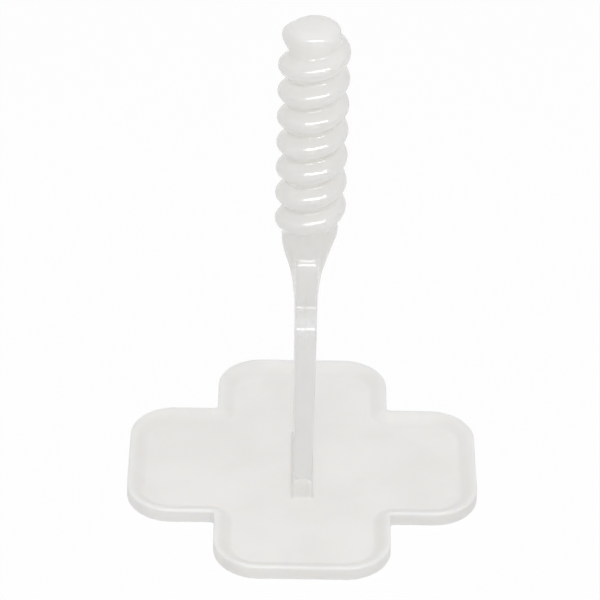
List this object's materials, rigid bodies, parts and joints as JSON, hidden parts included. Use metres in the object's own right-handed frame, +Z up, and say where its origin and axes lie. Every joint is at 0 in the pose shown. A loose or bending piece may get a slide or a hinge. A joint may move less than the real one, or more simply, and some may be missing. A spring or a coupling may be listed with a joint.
{
  "type": "tile levelling clip",
  "caption": "Cross-shaped base tray with a thin breakaway blade and a coarse threaded post, moulded in one piece, that holds tiles level while adhesive sets.",
  "frame": {"origin": "centre of the cross-shaped base's underside", "axes": "+Z up the post's axis; X across the blade, so across the tile joint; Y along the blade"},
  "size_m": [0.045, 0.045, 0.0667],
  "materials": {
    "natural_plastic": "milky translucent undyed plastic, half glossy"
  },
  "bodies": {
    "root": {"levelling_clip": "natural_plastic"}
  },
  "joints": []
}
